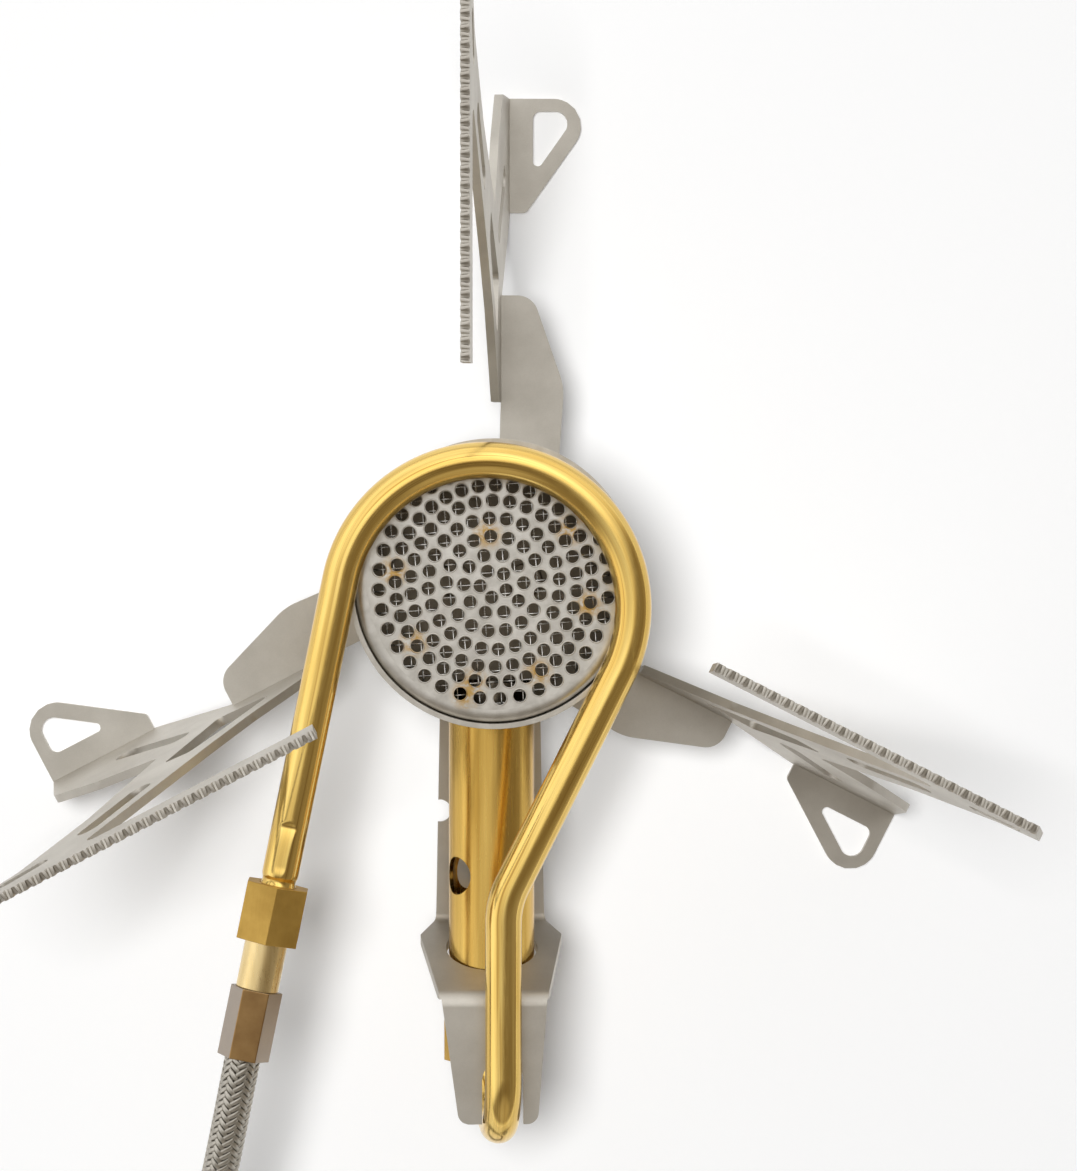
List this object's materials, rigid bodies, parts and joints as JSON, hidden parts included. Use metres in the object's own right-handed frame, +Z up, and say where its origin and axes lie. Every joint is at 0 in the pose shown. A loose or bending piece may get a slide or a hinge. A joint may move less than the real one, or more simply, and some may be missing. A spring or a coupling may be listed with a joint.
{
  "type": "backpacking stove",
  "caption": "Remote-canister backpacking stove: perforated burner, brass generator loop, folding serrated legs, braided gas hose and a canister valve with a folding wire handle.",
  "frame": {"origin": "on the ground, on the burner's axis", "axes": "+Z up, +Y from the jet end along the burner arm to the top leg, +X to the right of the picture"},
  "size_m": [0.1436, 0.2523, 0.075],
  "materials": {
    "steel": "tumbled stainless",
    "brass": "polished brass",
    "bronze": "dull bronze",
    "braid": "braided stainless wire",
    "seal_rubber": "matte rubber",
    "alloy": "bead-blasted aluminium"
  },
  "bodies": {
    "stove": {"burner_cup": "steel", "burner_plate": "steel", "flame_gauze": "steel", "cup_rivets": "steel", "support_bracket": "steel", "leg_rivet_top": "steel", "leg_rivet_left": "steel", "leg_rivet_right": "steel", "leg_washer_top": "steel", "leg_washer_left": "steel", "leg_washer_right": "steel", "depressor_pin": "steel", "mixing_tube": "brass", "jet_holder": "brass", "jet_nozzle": "brass", "generator_tube": "brass", "tube_olive": "brass", "inlet_nut": "brass", "hose_stem": "brass", "gland_nut": "brass", "hose_ferrule": "bronze", "valve_ferrule": "bronze", "jet_filter": "bronze", "braided_hose": "braid", "hose_coil": "braid", "coil_tie": "seal_rubber", "inlet_seal": "seal_rubber", "canister_seal": "seal_rubber", "spindle_seal": "seal_rubber", "valve_body": "alloy", "canister_collar": "alloy"},
    "leg_top": {"leg_top": "steel"},
    "leg_left": {"leg_left": "steel"},
    "leg_right": {"leg_right": "steel"},
    "spindle": {"valve_spindle": "brass"},
    "handle": {"valve_handle": "steel"}
  },
  "joints": [
    {"name": "leg_top_fold", "type": "hinge", "parent": "stove", "child": "leg_top", "pos_m": [0.0055, 0.0145, 0.0179], "axis": [0, 0, 1], "range_deg": [-120, 10]},
    {"name": "leg_left_fold", "type": "hinge", "parent": "stove", "child": "leg_left", "pos_m": [-0.01531, -0.00249, 0.0179], "axis": [0, 0, 1], "range_deg": [-115, 10]},
    {"name": "leg_right_fold", "type": "hinge", "parent": "stove", "child": "leg_right", "pos_m": [0.00981, -0.01201, 0.0179], "axis": [0, 0, 1], "range_deg": [-60, 10]},
    {"name": "valve_turn", "type": "hinge", "parent": "stove", "child": "spindle", "pos_m": [0.022, -0.1615, 0.0135], "axis": [1, 0, 0], "range_deg": [0, 720]},
    {"name": "handle_fold", "type": "hinge", "parent": "spindle", "child": "handle", "pos_m": [0.04575, -0.1615, 0.0135], "axis": [0, 1, 0], "range_deg": [-105, 60]}
  ]
}
